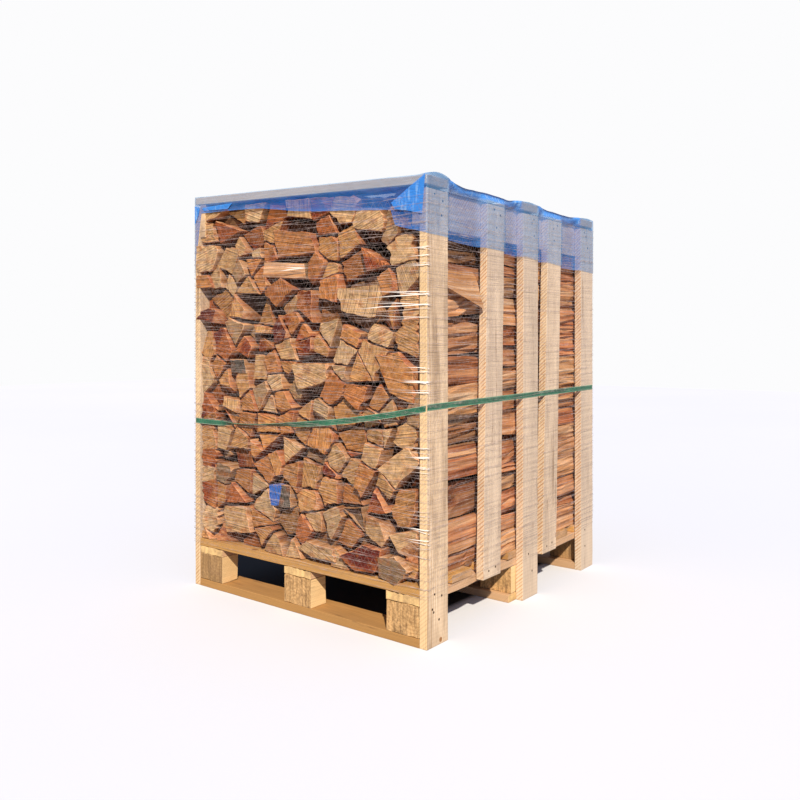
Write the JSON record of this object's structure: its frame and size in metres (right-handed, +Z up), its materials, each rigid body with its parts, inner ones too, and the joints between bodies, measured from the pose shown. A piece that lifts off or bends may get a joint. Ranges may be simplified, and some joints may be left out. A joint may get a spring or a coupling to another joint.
{
  "type": "palletised firewood crate",
  "caption": "Block pallet crate of stacked split firewood with upright side boards, top boards, plastic film cap, stretched wrap net and a tensioned strap.",
  "frame": {"origin": "on the ground, under the middle of the pallet", "axes": "+X to the right seen from the front, +Y to the back along the long sides, +Z up"},
  "size_m": [0.852, 1.008, 1.1869],
  "materials": {
    "pallet_pine": "sawn pine, honey yellow, knots and saw marks",
    "upright_board": "rough sawn spruce board, pale tan",
    "weathered_board": "rough sawn board, weathered grey brown",
    "split_log": "split hardwood, rough sawn end grain, tan to red brown",
    "blue_film": "thin blue polyethylene film, see-through, creased",
    "net_yarn": "clear white raschel net yarn, flat and glossy",
    "strap_web": "green woven strapping, slightly glossy",
    "nail_steel": "dull steel nail heads"
  },
  "bodies": {
    "root": {"skid_front": "pallet_pine", "skid_middle": "pallet_pine", "skid_back": "pallet_pine", "block_front_left": "pallet_pine", "block_front_middle": "pallet_pine", "block_front_right": "pallet_pine", "block_middle_left": "pallet_pine", "block_middle_middle": "pallet_pine", "block_middle_right": "pallet_pine", "block_back_left": "pallet_pine", "block_back_middle": "pallet_pine", "block_back_right": "pallet_pine", "stringer_left": "pallet_pine", "stringer_middle": "pallet_pine", "stringer_right": "pallet_pine", "deck_board_1": "pallet_pine", "deck_board_2": "pallet_pine", "deck_board_3": "pallet_pine", "deck_board_4": "pallet_pine", "deck_board_5": "pallet_pine", "deck_board_6": "pallet_pine", "deck_board_7": "pallet_pine", "upright_left_1": "upright_board", "upright_left_2": "upright_board", "upright_left_3": "upright_board", "upright_left_4": "upright_board", "upright_left_5": "upright_board", "upright_right_1": "upright_board", "upright_right_2": "upright_board", "upright_right_3": "upright_board", "upright_right_4": "upright_board", "upright_right_5": "upright_board", "top_rail_right": "upright_board", "top_rail_left": "upright_board", "top_board_front": "weathered_board", "top_board_middle": "weathered_board", "top_board_back": "weathered_board", "log_row_front": "split_log", "log_row_middle": "split_log", "log_row_back": "split_log", "film_cap": "blue_film", "wrap_net": "net_yarn", "strap": "strap_web"}
  },
  "joints": []
}
